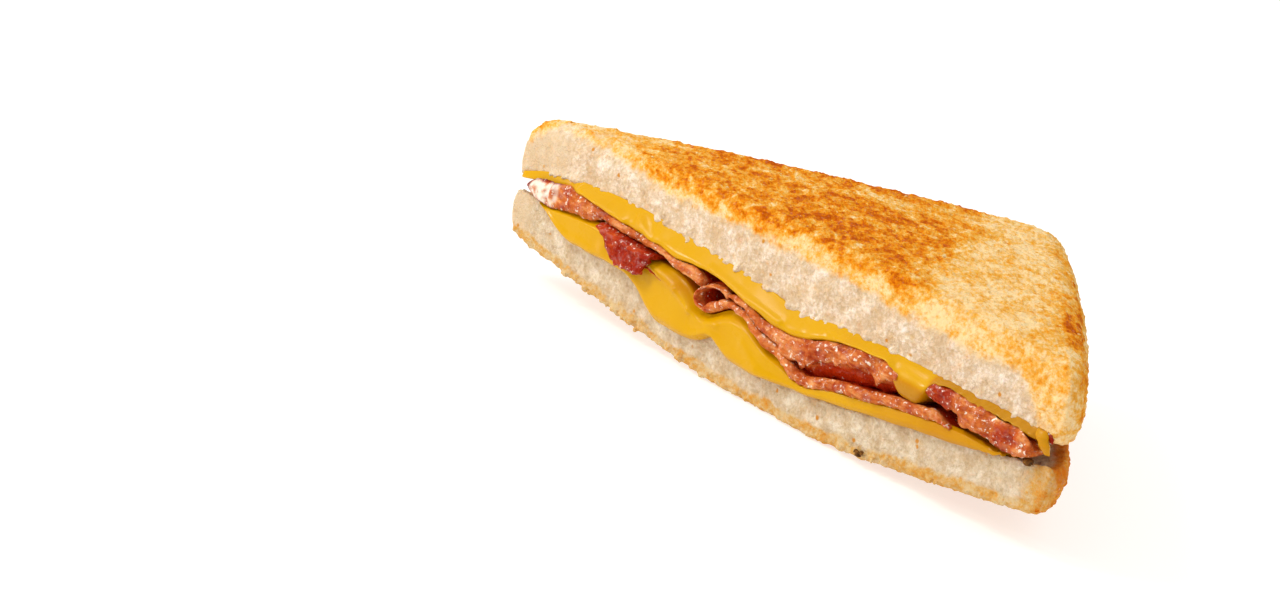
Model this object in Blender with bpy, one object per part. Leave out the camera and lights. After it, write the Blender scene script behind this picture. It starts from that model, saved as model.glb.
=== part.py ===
"""Half of a toasted bacon and cheese sandwich, cut from corner to corner.

The long cut face looks along -Y, the right-angled corner of the bread points along +Y, and the
flat middle of the underside rests on Z = 0. Every slice, sheet of cheese and rasher is a cube
divided into cells, whose vertices are carried onto that layer's own surfaces. The filling is
drawn as a section on the cut face and runs back from it to the crust. All of it is modelled
with the middle of the cut at X = 0, Y = 0, then hung on an empty that centres it on the origin.
"""

import math

import bmesh
import bpy
import numpy as np

MM = 0.001

# Square loaf slice, halved along its diagonal
SLICE_SIDE = 115 * MM
CORNER_RADIUS = 12 * MM
HALF_CUT = SLICE_SIDE / math.sqrt(2)
ARC_CENTRE = HALF_CUT - CORNER_RADIUS * math.sqrt(2)
TIP_SHARE = 0.2
CRUST_BOW = 1.3 * MM

# Bread
TOP_HEIGHT = 35.2 * MM
TOP_DOME = 1.8 * MM
CRUST_HEIGHT = 15.5 * MM
CRUST_LIFT_SHARE = 0.2
CRUST_ROOM = 3.5 * MM
CRUST_ROOM_MORE = 0.8 * MM
TOAST_ROUND = 5 * MM
BASE_ROUND = 3 * MM
TOAST_CUT_ROUND = 4.2 * MM
BASE_CUT_ROUND = 1.2 * MM
CRUST_BULGE = 0.8 * MM
ROUND_SHARE = 0.5
FRONT_ROWS_POWER = 1.3

# Underside of the sandwich: flat in the middle, lifted at its three corners
FLAT_LEFT, FLAT_RIGHT, FLAT_BACK = -10 * MM, 22 * MM, 48 * MM
LIFT_LEFT, LIFT_RIGHT, LIFT_BACK = 8.4 * MM, 8.2 * MM, 3.5 * MM
LIFT_POWER = 1.15

# Filling
GAP = 0.4 * MM
CHEESE_MARGIN = 3 * MM
BACON_MARGIN = 5 * MM
LOWER_CHEESE_FROM, LOWER_CHEESE_TO = -67 * MM, 68 * MM
TOP_CHEESE_FROM, TOP_CHEESE_TO = -74.5 * MM, 73 * MM
DRAPE_THICKNESS = 2.2 * MM
DRAPE_SHARE = 0.6
BEND_SHARE = 0.4
LIP_SHARE = 0.34
LIP_BULGE = 2.4 * MM
LIP_FLATTEST = 0.55

# Bacon
RASHER = 1.7 * MM
BACON_REACH = 2.6 * MM
FLAP_THICKNESS = 0.9 * MM
FLAP_DROP = 5.2 * MM
FLAP_FROM, FLAP_TO = -47 * MM, -28 * MM
CURL_RADIUS = 2.3 * MM
CURL_X = -12 * MM
CURL_SHARE = 0.18
CURL_TIP = math.radians(95)

BREAD_COLOUR = (0.86, 0.62, 0.30)
CHEESE_COLOUR = (0.88, 0.46, 0.01)
BACON_COLOUR = (0.50, 0.10, 0.04)


def mix(a, b, t):
    return a + (b - a) * t


def ease(t):
    """0 to 1 with soft ends."""
    t = np.clip(t, 0, 1)
    return t * t * (3 - 2 * t)


def bump(x, centre, width, right_width=None, power=2):
    """A smooth hill of height 1 at centre; it may fall off at another width on its right."""
    spread = np.where(x > centre, right_width or width, width)
    return np.exp(-np.abs((x - centre) / spread) ** power)


def nose(t, power=4):
    """1 in the middle of 0..1, rounding off to a blunt end at both sides."""
    return np.sqrt(1 - 0.94 * np.abs(2 * t - 1) ** power)


# Curves of the cut face: heights over X, from the lowest up --------------------------------


def underside(x, y):
    """Underside of the lower slice."""
    left = LIFT_LEFT * np.clip((FLAT_LEFT - x) / (HALF_CUT + FLAT_LEFT), 0, 1) ** LIFT_POWER
    right = LIFT_RIGHT * np.clip((x - FLAT_RIGHT) / (HALF_CUT - FLAT_RIGHT), 0, 1) ** LIFT_POWER
    back = LIFT_BACK * np.clip((y - FLAT_BACK) / (HALF_CUT - FLAT_BACK), 0, 1) ** LIFT_POWER
    return left + right + back


def lower_hem(x):
    """Lower edge of the lower cheese, where it hangs over the lower slice in broad tongues."""
    right = 0.137 * np.clip(x - 4 * MM, 0, None)
    shelf = 6.2 * MM * ease((-24 * MM - x) / (14 * MM))
    left = 4.6 * MM * ease((-54 * MM - x) / (13 * MM))
    notch = 2.7 * MM * bump(x, -9.5 * MM, 3.4 * MM)
    return 6.2 * MM + right + shelf + left + notch


def bread_crest(x):
    """Top of the lower slice, pressed down in the middle."""
    level = mix(14.8 * MM, 13.4 * MM, ease((x + 30 * MM) / (60 * MM)))
    press = 8 * MM * bump(x, 14 * MM, 28 * MM, 31 * MM)
    tips = 2.6 * MM * (bump(x, -80 * MM, 8 * MM) + bump(x, 80 * MM, 6 * MM))
    return level - press + tips


def cheese_crest(x):
    """Top of the lower cheese, pressed down under the curl and the long rasher."""
    level = mix(17.6 * MM, 15.2 * MM, ease((x + 30 * MM) / (60 * MM)))
    left = 1.5 * MM * bump(x, -48 * MM, 13 * MM)
    curl = 4.4 * MM * bump(x, -13 * MM, 5.5 * MM)
    rasher = 5.2 * MM * bump(x, 17 * MM, 12 * MM, 25 * MM)
    dents = 1.5 * MM * bump(x, 5 * MM, 6 * MM) + 1.7 * MM * bump(x, 16.5 * MM, 5.5 * MM)
    return level + left - curl - rasher - dents


def top_hem(x):
    """Lower edge of the top cheese, without its drips."""
    rise = 1.6 * MM * bump(x, -52 * MM, 11 * MM) + 0.9 * MM * bump(x, 52 * MM, 4 * MM)
    dip = 4.3 * MM * bump(x, 10 * MM, 16 * MM, 12 * MM) + 0.9 * MM * bump(x, -23 * MM, 6 * MM)
    tips = 1.0 * MM * (bump(x, -77 * MM, 6 * MM) + bump(x, 75 * MM, 5 * MM))
    return 20.5 * MM + rise - dip - tips


def top_drip(x):
    """How far the top cheese runs down below its hem, in front of the bacon."""
    return 4.7 * MM * bump(x, 43.2 * MM, 3.1 * MM, power=4)


def crumb_edge(x):
    """Lower edge of the top slice."""
    level = 22.4 * MM - 0.008 * x + 2.4 * MM * bump(x, -40 * MM, 26 * MM)
    press = 1.5 * MM * bump(x, 11 * MM, 9 * MM)
    tips = 3.2 * MM * bump(x, -80 * MM, 10 * MM) + 0.9 * MM * bump(x, 78 * MM, 6 * MM)
    return level - press - tips


# From the cut face back to the crust -------------------------------------------------------


def depth_share(x, y):
    """0 at the cut and 1 at the crust straight behind it."""
    return np.clip(y / (HALF_CUT - np.abs(x)), 0, 1)


def carried_back(x, z, y):
    """Height at depth y of what lies at height z on the cut face. The slices come together
    towards the crust, and everything between them is pressed in the same proportion."""
    low, high = bread_crest(x), crumb_edge(x)
    lift = underside(x, HALF_CUT - np.abs(x))
    room = CRUST_ROOM + CRUST_ROOM_MORE * (1 - np.abs(x) / HALF_CUT)
    at_crust = CRUST_HEIGHT + CRUST_LIFT_SHARE * lift + (z - low) / (high - low) * room
    return mix(z, at_crust, depth_share(x, y))


def lower_bread_top(x, y):
    return carried_back(x, bread_crest(x), y)


def top_bread_under(x, y):
    return carried_back(x, crumb_edge(x), y)


def top_bread_top(x, y):
    across = (x / HALF_CUT) ** 2
    deep = ((y - 0.3 * HALF_CUT) / HALF_CUT) ** 2
    return TOP_HEIGHT - TOP_DOME * (across + deep)


def row_depth(x, v, margin, reach):
    """Depth of row v of a layer that starts reach in front of the cut and stops short of the
    crust by margin."""
    back = np.clip(HALF_CUT - np.abs(x) - margin * math.sqrt(2), 2 * MM, None)
    return mix(-reach, back, v)


# Blocks ------------------------------------------------------------------------------------


def finish(name, colour, roughness):
    material = bpy.data.materials.new(name)
    material.use_nodes = True
    shader = material.node_tree.nodes["Principled BSDF"]
    shader.inputs["Base Color"].default_value = (*colour, 1)
    shader.inputs["Roughness"].default_value = roughness
    shader.inputs["Metallic"].default_value = 0
    return material


def block(name, cells, shape, material):
    """A cube divided into cells (along, deep, high) and carried onto shape(u, v, w)."""
    bm = bmesh.new()
    bmesh.ops.create_cube(bm, size=1.0)
    for axis, count in enumerate(cells):
        edges = [e for e in bm.edges if abs(e.verts[0].co[axis] - e.verts[1].co[axis]) > 0.5]
        bmesh.ops.subdivide_edges(bm, edges=edges, cuts=count - 1, use_grid_fill=True)
    places = np.array([v.co for v in bm.verts]) + 0.5
    for vertex, place in zip(bm.verts, np.stack(shape(*places.T), 1)):
        vertex.co = place
    bmesh.ops.recalc_face_normals(bm, faces=bm.faces)
    mesh = bpy.data.meshes.new(name)
    bm.to_mesh(mesh)
    bm.free()
    mesh.shade_smooth()
    mesh.set_sharp_from_angle(angle=math.radians(50))
    mesh.materials.append(material)
    return bpy.data.objects.new(name, mesh)


# Bread -------------------------------------------------------------------------------------


def footprint(u, v, inset, front):
    """Place in the half slice: u from -1 to 1 along the cut, v from 0 at the cut to 1 at the far
    corner. The crust stands inset in from the outline, and the cut at y = front."""
    radius = CORNER_RADIUS - inset
    arc = np.clip(v / TIP_SHARE, 0, 1) * math.pi / 4
    along = np.clip((v - TIP_SHARE) / (1 - TIP_SHARE), 0, 1) * ARC_CENTRE
    bow = CRUST_BOW * np.sin(along / ARC_CENTRE * math.pi) / math.sqrt(2)
    side_x = ARC_CENTRE + radius * np.cos(arc) - along + bow
    side_y = radius * np.sin(arc) + along + bow
    far_x = radius * np.sin(u * math.pi / 4)
    far_y = ARC_CENTRE + radius * np.cos(u * math.pi / 4)
    corner = radius * math.sin(math.pi / 4)
    x = v * (far_x - u * corner) + u * side_x
    y = side_y + v * (far_y - ARC_CENTRE - corner)
    return x, y + front * (1 - v) ** 6


def slice_shape(low, high, crust_round, cut_round, toasted_above):
    """A bread slice between two surfaces, rounded along its toasted edges."""

    def shape(u, v, w):
        height = w if toasted_above else 1 - w
        turn = np.clip((height - ROUND_SHARE) / (1 - ROUND_SHARE), 0, 1) * math.pi / 2
        bulge = CRUST_BULGE * np.sin(np.clip(height / ROUND_SHARE, 0, 1) * math.pi)
        inset = crust_round * (1 - np.cos(turn)) - bulge
        front = cut_round * (1 - np.cos(turn))
        x, y = footprint(2 * u - 1, v**FRONT_ROWS_POWER, inset, front)
        bottom, top = low(x, y), high(x, y)
        straight = 1 - crust_round / (top - bottom)
        rise = np.clip(height / ROUND_SHARE, 0, 1) * straight + (1 - straight) * np.sin(turn)
        return x, y, mix(bottom, top, rise if toasted_above else 1 - rise)

    return shape


# Cheese ------------------------------------------------------------------------------------


def lower_cheese_shape(u, v, w):
    """A sheet on the lower slice that bends over the cut and hangs down it in tongues."""
    x = mix(LOWER_CHEESE_FROM, LOWER_CHEESE_TO, u)
    hang = np.clip(1 - v / DRAPE_SHARE, 0, 1)
    inner = np.clip((v - DRAPE_SHARE) / (1 - DRAPE_SHARE), 0, 1)
    y = row_depth(x, inner, CHEESE_MARGIN, 0)
    under, crest = bread_crest(x) + GAP, cheese_crest(x)
    turn = np.clip(hang / BEND_SHARE, 0, 1) * math.pi / 2
    fall = np.clip((hang - BEND_SHARE) / (1 - BEND_SHARE), 0, 1)
    bend = (crest - under) * np.cos(turn) * w
    thickness = DRAPE_THICKNESS * np.sqrt(1 - 0.9 * fall**4) * nose(u)
    out = (GAP + thickness * w) * np.sin(turn)
    hung = mix(under, lower_hem(x), fall) + bend
    return x, y - out, np.where(hang > 0, hung, carried_back(x, under + (crest - under) * w, y))


def top_cheese_shape(u, v, w):
    """A sheet under the top slice whose front lip bulges out of the cut and runs down."""
    x = mix(TOP_CHEESE_FROM, TOP_CHEESE_TO, u)
    lip = np.clip(1 - v / LIP_SHARE, 0, 1)
    inner = np.clip((v - LIP_SHARE) / (1 - LIP_SHARE), 0, 1)
    y = row_depth(x, inner, CHEESE_MARGIN, 0) - LIP_BULGE * np.sin(lip * math.pi / 2) * nose(u)
    low, high = top_hem(x), crumb_edge(x) - GAP
    drip = top_drip(x) * np.clip(1.6 * lip - 0.6, 0, 1)
    middle, half = (low + high - drip) / 2, (high - low + drip) / 2
    swell = np.clip(np.cos(lip * math.pi / 2), LIP_FLATTEST, 1)
    return x, y, carried_back(x, middle + (2 * w - 1) * half * swell, y)


# Bacon -------------------------------------------------------------------------------------


def rasher_shape(start, end, low, high):
    """A rasher from start to end along the cut, between two curves of the cut face."""

    def shape(u, v, w):
        x = mix(start, end, u)
        y = row_depth(x, v, BACON_MARGIN, BACON_REACH)
        middle, half = (low(x) + high(x)) / 2, (high(x) - low(x)) / 2 * nose(u, 8)
        return x, y, carried_back(x, middle + (2 * w - 1) * half, y)

    return shape


def under_top_cheese(x):
    return top_hem(x) - GAP


def on_lower_cheese(x):
    return cheese_crest(x) + GAP


def on_flap(x):
    """Underside of the left rasher, raised where the flap passes under it."""
    middle, half = (FLAP_FROM + FLAP_TO) / 2, (FLAP_TO - FLAP_FROM) / 2 + 2.5 * MM
    return on_lower_cheese(x) + (FLAP_THICKNESS + GAP) * bump(x, middle, half, power=8)


def thickness_of_two(x):
    """Thickness of the long and the upper rasher, where they share the room."""
    return np.minimum(RASHER, (under_top_cheese(x) - on_lower_cheese(x) - GAP) / 2)


def upper_rasher_under(x):
    return under_top_cheese(x) - thickness_of_two(x)


def end_rasher_under(x):
    folded = 18 * MM - 1.9 * MM * ease((x - 55 * MM) / (5 * MM))
    return np.maximum(on_lower_cheese(x), folded)


def long_rasher_shape(u, v, w):
    """The rasher on the lower cheese. Its left end curls up and over into a tube."""
    flat = np.clip((u - CURL_SHARE) / (1 - CURL_SHARE), 0, 1)
    x = mix(CURL_X, 54 * MM, flat)
    thickness = thickness_of_two(x)
    middle = on_lower_cheese(x) + thickness / 2
    outward = (0.5 - w) * thickness
    angle = mix(CURL_TIP, 1.5 * math.pi, np.clip(u / CURL_SHARE, 0, 1))
    curl_x = x + (CURL_RADIUS + outward) * np.cos(angle)
    curl_z = middle + CURL_RADIUS + (CURL_RADIUS + outward) * np.sin(angle)
    x = np.where(u < CURL_SHARE, curl_x, x)
    z = np.where(u < CURL_SHARE, curl_z, middle - outward)
    y = row_depth(x, v, BACON_MARGIN, BACON_REACH)
    return x, y, carried_back(x, z, y)


def flap_shape(u, v, w):
    """A short rasher under the left one, whose front folds down over the lower cheese."""
    inner = np.clip((v - 0.4) / 0.6, 0, 1)
    hang = np.clip(1 - v / 0.4, 0, 1)
    turn = np.clip(hang / 0.5, 0, 1) * math.pi / 2
    fall = np.clip((hang - 0.5) / 0.5, 0, 1)
    x = mix(FLAP_FROM, FLAP_TO, u) + 4 * MM * fall * (1 - u)
    y = row_depth(x, inner, 3 * BACON_MARGIN, DRAPE_THICKNESS * 0.5)
    across = DRAPE_THICKNESS * 0.5 + 2 * GAP
    out = (across + FLAP_THICKNESS * w) * np.sin(turn)
    over = on_lower_cheese(x) + FLAP_THICKNESS * w * np.cos(turn)
    drop = FLAP_DROP * fall * (1 - 0.3 * u)
    return x, y - out, carried_back(x, over, y) - drop


def centring(pieces):
    """The move that brings the middle of the whole sandwich's base to the origin."""
    corners = np.array([v.co for piece in pieces for v in piece.data.vertices])
    low, high = corners.min(0), corners.max(0)
    middle = (low + high) / 2
    return -middle[0], -middle[1], -low[2]


def main():
    for old in list(bpy.data.objects):
        bpy.data.objects.remove(old)
    collection = bpy.data.collections.new("grilled_cheese_sandwich_half")
    bpy.context.scene.collection.children.link(collection)

    bread = finish("toasted_white_bread", BREAD_COLOUR, 0.85)
    cheese = finish("melted_cheese", CHEESE_COLOUR, 0.35)
    bacon = finish("grilled_back_bacon", BACON_COLOUR, 0.4)

    base = slice_shape(underside, lower_bread_top, BASE_ROUND, BASE_CUT_ROUND, False)
    lid = slice_shape(top_bread_under, top_bread_top, TOAST_ROUND, TOAST_CUT_ROUND, True)
    left = rasher_shape(-73 * MM, -16 * MM, on_flap, under_top_cheese)
    upper = rasher_shape(-6 * MM, 38.5 * MM, upper_rasher_under, under_top_cheese)
    end = rasher_shape(47.6 * MM, 73.5 * MM, end_rasher_under, under_top_cheese)
    pieces = (
        block("bread_bottom", (28, 9, 5), base, bread),
        block("cheese_bottom", (40, 9, 1), lower_cheese_shape, cheese),
        block("bacon_flap", (5, 6, 1), flap_shape, bacon),
        block("bacon_long", (36, 4, 1), long_rasher_shape, bacon),
        block("bacon_left", (26, 4, 1), left, bacon),
        block("bacon_upper", (18, 4, 1), upper, bacon),
        block("bacon_end", (12, 4, 1), end, bacon),
        block("cheese_top", (60, 7, 1), top_cheese_shape, cheese),
        block("bread_top", (28, 9, 5), lid, bread),
    )
    sandwich = bpy.data.objects.new("sandwich", None)
    sandwich.location = centring(pieces)
    collection.objects.link(sandwich)
    for piece in pieces:
        piece.parent = sandwich
        collection.objects.link(piece)


main()
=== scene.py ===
import math

import bmesh
import bpy
import numpy as np
from bpy.props import FloatProperty, FloatVectorProperty, PointerProperty
from mathutils import Matrix, Vector


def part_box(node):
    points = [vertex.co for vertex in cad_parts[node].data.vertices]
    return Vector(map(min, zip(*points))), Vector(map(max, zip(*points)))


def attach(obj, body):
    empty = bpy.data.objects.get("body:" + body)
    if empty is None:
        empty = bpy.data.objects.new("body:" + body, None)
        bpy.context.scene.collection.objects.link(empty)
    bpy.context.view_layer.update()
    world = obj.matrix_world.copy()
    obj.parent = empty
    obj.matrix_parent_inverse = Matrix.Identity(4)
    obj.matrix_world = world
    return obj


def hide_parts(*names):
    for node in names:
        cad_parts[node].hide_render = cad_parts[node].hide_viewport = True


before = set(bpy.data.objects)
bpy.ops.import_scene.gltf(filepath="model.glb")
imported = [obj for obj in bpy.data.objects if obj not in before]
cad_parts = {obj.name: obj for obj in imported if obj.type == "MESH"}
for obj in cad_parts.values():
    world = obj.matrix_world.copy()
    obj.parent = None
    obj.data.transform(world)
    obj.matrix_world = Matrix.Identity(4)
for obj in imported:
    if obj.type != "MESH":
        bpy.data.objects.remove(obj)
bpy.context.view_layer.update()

bl_info = {
    "name": "Toasted Sandwich Half",
    "version": (1, 0, 0),
    "blender": (4, 5, 0),
    "location": "View3D > Sidebar > Sandwich",
    "description": "Builds half of a toasted bacon and cheese sandwich around its packed solids",
    "category": "Add Mesh",
}

MM = 0.001
CUT_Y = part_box("bread_top")[0].y / MM  # the cut face; depth is counted inwards from here

# Named sizes of the solids, in millimetres
HALF_CUT = 115 / math.sqrt(2)
LOAF_CORNER = 12
GAP = 0.4
CHEESE_MARGIN, BACON_MARGIN = 3, 5
RASHER, BACON_REACH = 1.7, 2.6
CURL_X, CURL_RADIUS, CURL_SHARE, CURL_TIP = -12, 2.3, 0.3, math.radians(80)
FLAP_FROM, FLAP_TO, FLAP_THICKNESS, FLAP_DROP = -47, -28, 0.9, 5.2
DRAPE = 2.2

# Limits of the finer pieces, in millimetres, and how their rows are shared out
HIGHEST, LIP = 35.9, 2.2
TOP_FRONT, LOWER_FRONT, FLAP_FRONT = 0.12, 0.1, 0.5  # share of the rows that hang before the cut
CROWDING = 1.7  # the rows of a rasher crowd towards its front edge
SEEDS = {
    "lower_slice": 40,
    "upper_slice": 60,
    "rasher": 70,
    "crumbs": 81,
    "drop": 82,
    "tail": 83,
    "shred": 84,
    "dark_bits": 91,
}
TOAST_CRUMBS, STRAND_SIDES = 46, 14
UPPER_LUMPS, LOWER_LUMPS = 680, 480  # crumbs along the cut edge of each slice
LUMPY_EDGE, LUMPS_OUT = (-70, 75), 0.3  # where they lie, and how far they stand off the cut

# Camera, room and floor, in metres; the angles are given in degrees
CAMERA_PLACE = (0.3843, -0.4200, 0.1591)
AZIMUTH, ELEVATION, ROLL = (math.radians(angle) for angle in (47.4, 14.9, 12.6))
SENSOR_WIDTH, LENS = 36, 84.375  # millimetres
FLOOR_HALF, FLOOR_DROP = 4, 0.02 * MM
MIDDLE = (0, 0, 0.017)  # the lights point at the middle of the sandwich
LOW_SKY, HIGH_SKY = 0.42, 1.3  # share of the room light at the horizon and overhead


# ---- Curves and noise


def mix(a, b, t):
    return a + (b - a) * t


def ease(t):
    """0 to 1 with soft ends."""
    t = np.clip(t, 0, 1)
    return t * t * (3 - 2 * t)


def bump(x, centre, width, right_width=None, power=2):
    """A smooth hill of height 1 at centre; it may fall off at another width on its right."""
    spread = np.where(x > centre, right_width or width, width)
    return np.exp(-(np.abs((x - centre) / spread) ** power))


def line_through(x, *stops, soft=1.2):
    """A line through (x, value) stops, with soft corners."""
    places, values = zip(*stops)
    return sum(np.interp(x + shift, places, values) for shift in (-soft, 0, soft)) / 3


def nose(t, power=4):
    """1 in the middle of 0..1, rounding off to a blunt end at both sides."""
    return np.sqrt(1 - 0.94 * np.abs(2 * t - 1) ** power)


def underside(x, y):
    left = 8.4 * np.clip((-10 - x) / (HALF_CUT - 10), 0, 1) ** 1.15
    right = 8.2 * np.clip((x - 22) / (HALF_CUT - 22), 0, 1) ** 1.15
    back = 3.5 * np.clip((y - 48) / (HALF_CUT - 48), 0, 1) ** 1.15
    return left + right + back


def lower_hem(x):
    """Lower edge of the lower cheese."""
    right = 0.137 * np.clip(x - 4, 0, None)
    shelf = 6.2 * ease((-24 - x) / 14) + 4.6 * ease((-54 - x) / 13)
    return 6.2 + right + shelf + 2.7 * bump(x, -9.5, 3.4)


def bread_crest(x):
    """Top of the lower slice on the cut."""
    level = mix(14.8, 13.4, ease((x + 30) / 60)) - 8 * bump(x, 14, 28, 31)
    return level + 2.6 * (bump(x, -80, 8) + bump(x, 80, 6))


def cheese_crest(x):
    """Top of the lower cheese on the cut."""
    level = mix(17.6, 15.2, ease((x + 30) / 60)) + 1.5 * bump(x, -48, 13)
    level = level - 4.4 * bump(x, -13, 5.5) - 5.2 * bump(x, 17, 12, 25)
    return level - 1.5 * bump(x, 5, 6) - 1.7 * bump(x, 16.5, 5.5)


def top_hem(x):
    """Lower edge of the top cheese, without its drip."""
    level = 20.5 + 1.6 * bump(x, -52, 11) + 0.9 * bump(x, 52, 4)
    level = level - 4.3 * bump(x, 10, 16, 12) - 0.9 * bump(x, -23, 6)
    return level - bump(x, -77, 6) - bump(x, 75, 5)


def crumb_edge(x):
    """Lower edge of the top slice on the cut."""
    level = 22.4 - 0.008 * x + 2.4 * bump(x, -40, 26) - 1.5 * bump(x, 11, 9)
    return level - 3.2 * bump(x, -80, 10) - 0.9 * bump(x, 78, 6)


def crumb_lip(x, y):
    """How far the front edge of the lower slice swells up to the hem of its cheese."""
    return np.clip(lower_hem(x) + 0.3 - bread_crest(x), 0, LIP) * ease((2.5 - y) / 2.5)


def carried_back(x, z, y):
    """Height at depth y of what lies at height z on the cut: the slices close in on the crust."""
    low, high = bread_crest(x), crumb_edge(x)
    lift = underside(x, HALF_CUT - np.abs(x))
    room = 3.5 + 0.8 * (1 - np.abs(x) / HALF_CUT)
    at_crust = 15.5 + 0.2 * lift + (z - low) / (high - low) * room
    return mix(z, at_crust, np.clip(y / (HALF_CUT - np.abs(x)), 0, 1))


def row_depth(x, v, margin, reach):
    """Depth of row v of a layer that starts reach in front of the cut."""
    back = np.clip(HALF_CUT - np.abs(x) - margin * math.sqrt(2), 2, None)
    return mix(-reach, back, v)


def scatter(cells, seed):
    """Three numbers from 0 to 1 for each whole-number cell, always the same for that cell. The
    large odd numbers only spread the cells."""
    n = (cells * (73856093, 19349663, 83492791)).sum(-1) + seed * 2654435
    found = []
    for _ in range(3):
        n = ((n ^ (n >> 15)) * 0x2C1B3C6D) & 0x7FFFFFFF
        n = n ^ (n >> 12)
        found.append((n & 0xFFFFF) / 0xFFFFF)
    return np.stack(found, -1)


def soft_noise(points, size, seed=0):
    """Smooth noise, about -1 to 1, whose lumps are size millimetres across."""
    place = points / size + 0.37 * seed
    cell = np.floor(place).astype(np.int64)
    inside = place - cell
    fade = inside**3 * (inside * (inside * 6 - 15) + 10)
    total = np.zeros(len(points))
    for corner in np.ndindex(2, 2, 2):
        slope = scatter(cell + corner, seed) * 2 - 1
        share = np.where(corner, fade, 1 - fade).prod(1)
        total += share * (slope * (inside - corner)).sum(1)
    return total * 1.7


def seed_distance(points, size, seed=0):
    """Distance from each point to the nearest of the seeds scattered size millimetres apart,
    in those sizes, and a number from 0 to 1 that belongs to that seed."""
    place = points / size
    cell = np.floor(place).astype(np.int64)
    nearest = np.full(len(points), 9.0)
    own = np.zeros(len(points))
    for offset in np.ndindex(3, 3, 3):
        spot = cell + offset - 1
        jitter = scatter(spot, seed)
        distance = np.linalg.norm(place - spot - jitter, axis=1)
        own = np.where(distance < nearest, (jitter[:, 0] * 7.3 + jitter[:, 1] * 3.1) % 1, own)
        nearest = np.minimum(nearest, distance)
    return nearest, own


def ridges(x, z, lines):
    """Soft raised folds along straight lines (x0, z0, x1, z1, width, height)."""
    total = 0
    for x0, z0, x1, z1, width, height in lines:
        along = ((x - x0) * (x1 - x0) + (z - z0) * (z1 - z0)) / ((x1 - x0) ** 2 + (z1 - z0) ** 2)
        t = np.clip(along, 0, 1)
        gap = np.hypot(x - mix(x0, x1, t), z - mix(z0, z1, t))
        total = total + height * np.exp(-((gap / width) ** 2))
    return total


# ---- Meshes


def shell_grid(along, deep, high):
    """Places from 0 to 1 and faces of the outside of a box divided into cells."""
    counts = np.array((along, deep, high))
    outside = np.ones(counts + 1, bool)
    outside[1:-1, 1:-1, 1:-1] = False
    index = np.full(outside.shape, -1)
    index[outside] = np.arange(outside.sum())
    quads = []
    for axis, count in enumerate(counts):
        for side in (0, count):
            grid = index.take(side, axis)
            ring = (grid[:-1, :-1], grid[1:, :-1], grid[1:, 1:], grid[:-1, 1:])
            faces = np.stack(ring, -1).reshape(-1, 4)
            quads.append(faces[:, ::-1] if (side == 0) != (axis == 1) else faces)
    return np.argwhere(outside) / counts, np.concatenate(quads).tolist()


def keep_marks(mesh, marks):
    """Keeps numbers from 0 to 1 with each point, for the material."""
    for mark, values in marks.items():
        layer = mesh.attributes.new(mark, "FLOAT", "POINT")
        layer.data.foreach_set("value", np.ascontiguousarray(np.clip(values, 0, 1), np.float32))


def new_mesh(name, points, faces, marks=None):
    """A mesh from points in millimetres (X, depth behind the cut, Z)."""
    mesh = bpy.data.meshes.new(name)
    placed = (np.asarray(points) + (0, CUT_Y, 0)) * MM
    mesh.from_pydata(placed.tolist(), [], faces)
    keep_marks(mesh, marks or {})
    mesh.shade_smooth()
    mesh.update()
    return mesh


def add_piece(mesh, material, slot, *nodes):
    """Puts the mesh into the scene as a piece that stands for the CAD nodes."""
    mesh.materials.clear()
    mesh.materials.append(material)
    piece = bpy.data.objects.new(mesh.name, mesh)
    bpy.context.scene.collection.objects.link(piece)
    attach(piece, "root")
    if nodes:
        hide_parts(*nodes)
    return piece


def read_points(mesh):
    """Points in millimetres (X, depth, Z) and their normals."""
    points = np.empty(len(mesh.vertices) * 3)
    normals = np.empty(len(mesh.vertices) * 3)
    mesh.vertices.foreach_get("co", points)
    mesh.vertices.foreach_get("normal", normals)
    return points.reshape(-1, 3) / MM - (0, CUT_Y, 0), normals.reshape(-1, 3)


def write_points(mesh, points):
    mesh.vertices.foreach_set("co", ((points + (0, CUT_Y, 0)) * MM).ravel())
    mesh.update()


def lumps(places, sizes, seed):
    """Points and faces of rough little lumps, one at each place."""
    ball = bmesh.new()
    bmesh.ops.create_icosphere(ball, subdivisions=1, radius=1)
    corners = np.array([v.co for v in ball.verts])
    sides = np.array([[v.index for v in f.verts] for f in ball.faces])
    ball.free()
    rough = 0.7 + 0.6 * np.random.default_rng(seed).random((len(places), len(corners), 1))
    points = places[:, None] + corners * rough * sizes[:, None]
    faces = sides + len(corners) * np.arange(len(places))[:, None, None]
    return points.reshape(-1, 3), faces.reshape(-1, 3).tolist()


def remeshed(name, node, added, voxel):
    """A copy of a CAD node joined with the added lumps into one evenly divided skin."""
    joined = bmesh.new()
    joined.from_mesh(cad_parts[node].data)
    bmesh.ops.remove_doubles(joined, verts=joined.verts, dist=0.002 * MM)
    places, faces = added
    corners = [joined.verts.new((place + (0, CUT_Y, 0)) * MM) for place in places]
    for face in faces:
        joined.faces.new([corners[i] for i in face])
    mesh = bpy.data.meshes.new(name + "_rough")
    joined.to_mesh(mesh)
    joined.free()
    helper = bpy.data.objects.new(name + "_rough", mesh)
    bpy.context.scene.collection.objects.link(helper)
    skin = helper.modifiers.new("Skin", "REMESH")
    skin.mode = "VOXEL"
    skin.voxel_size = voxel * MM
    smooth = helper.modifiers.new("Smooth", "SMOOTH")
    smooth.factor = 0.5
    smooth.iterations = 2
    depsgraph = bpy.context.evaluated_depsgraph_get()
    result = bpy.data.meshes.new_from_object(helper.evaluated_get(depsgraph))
    result.name = name
    bpy.data.objects.remove(helper)
    bpy.data.meshes.remove(mesh)
    result.shade_smooth()
    return result


# ---- Materials


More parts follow.
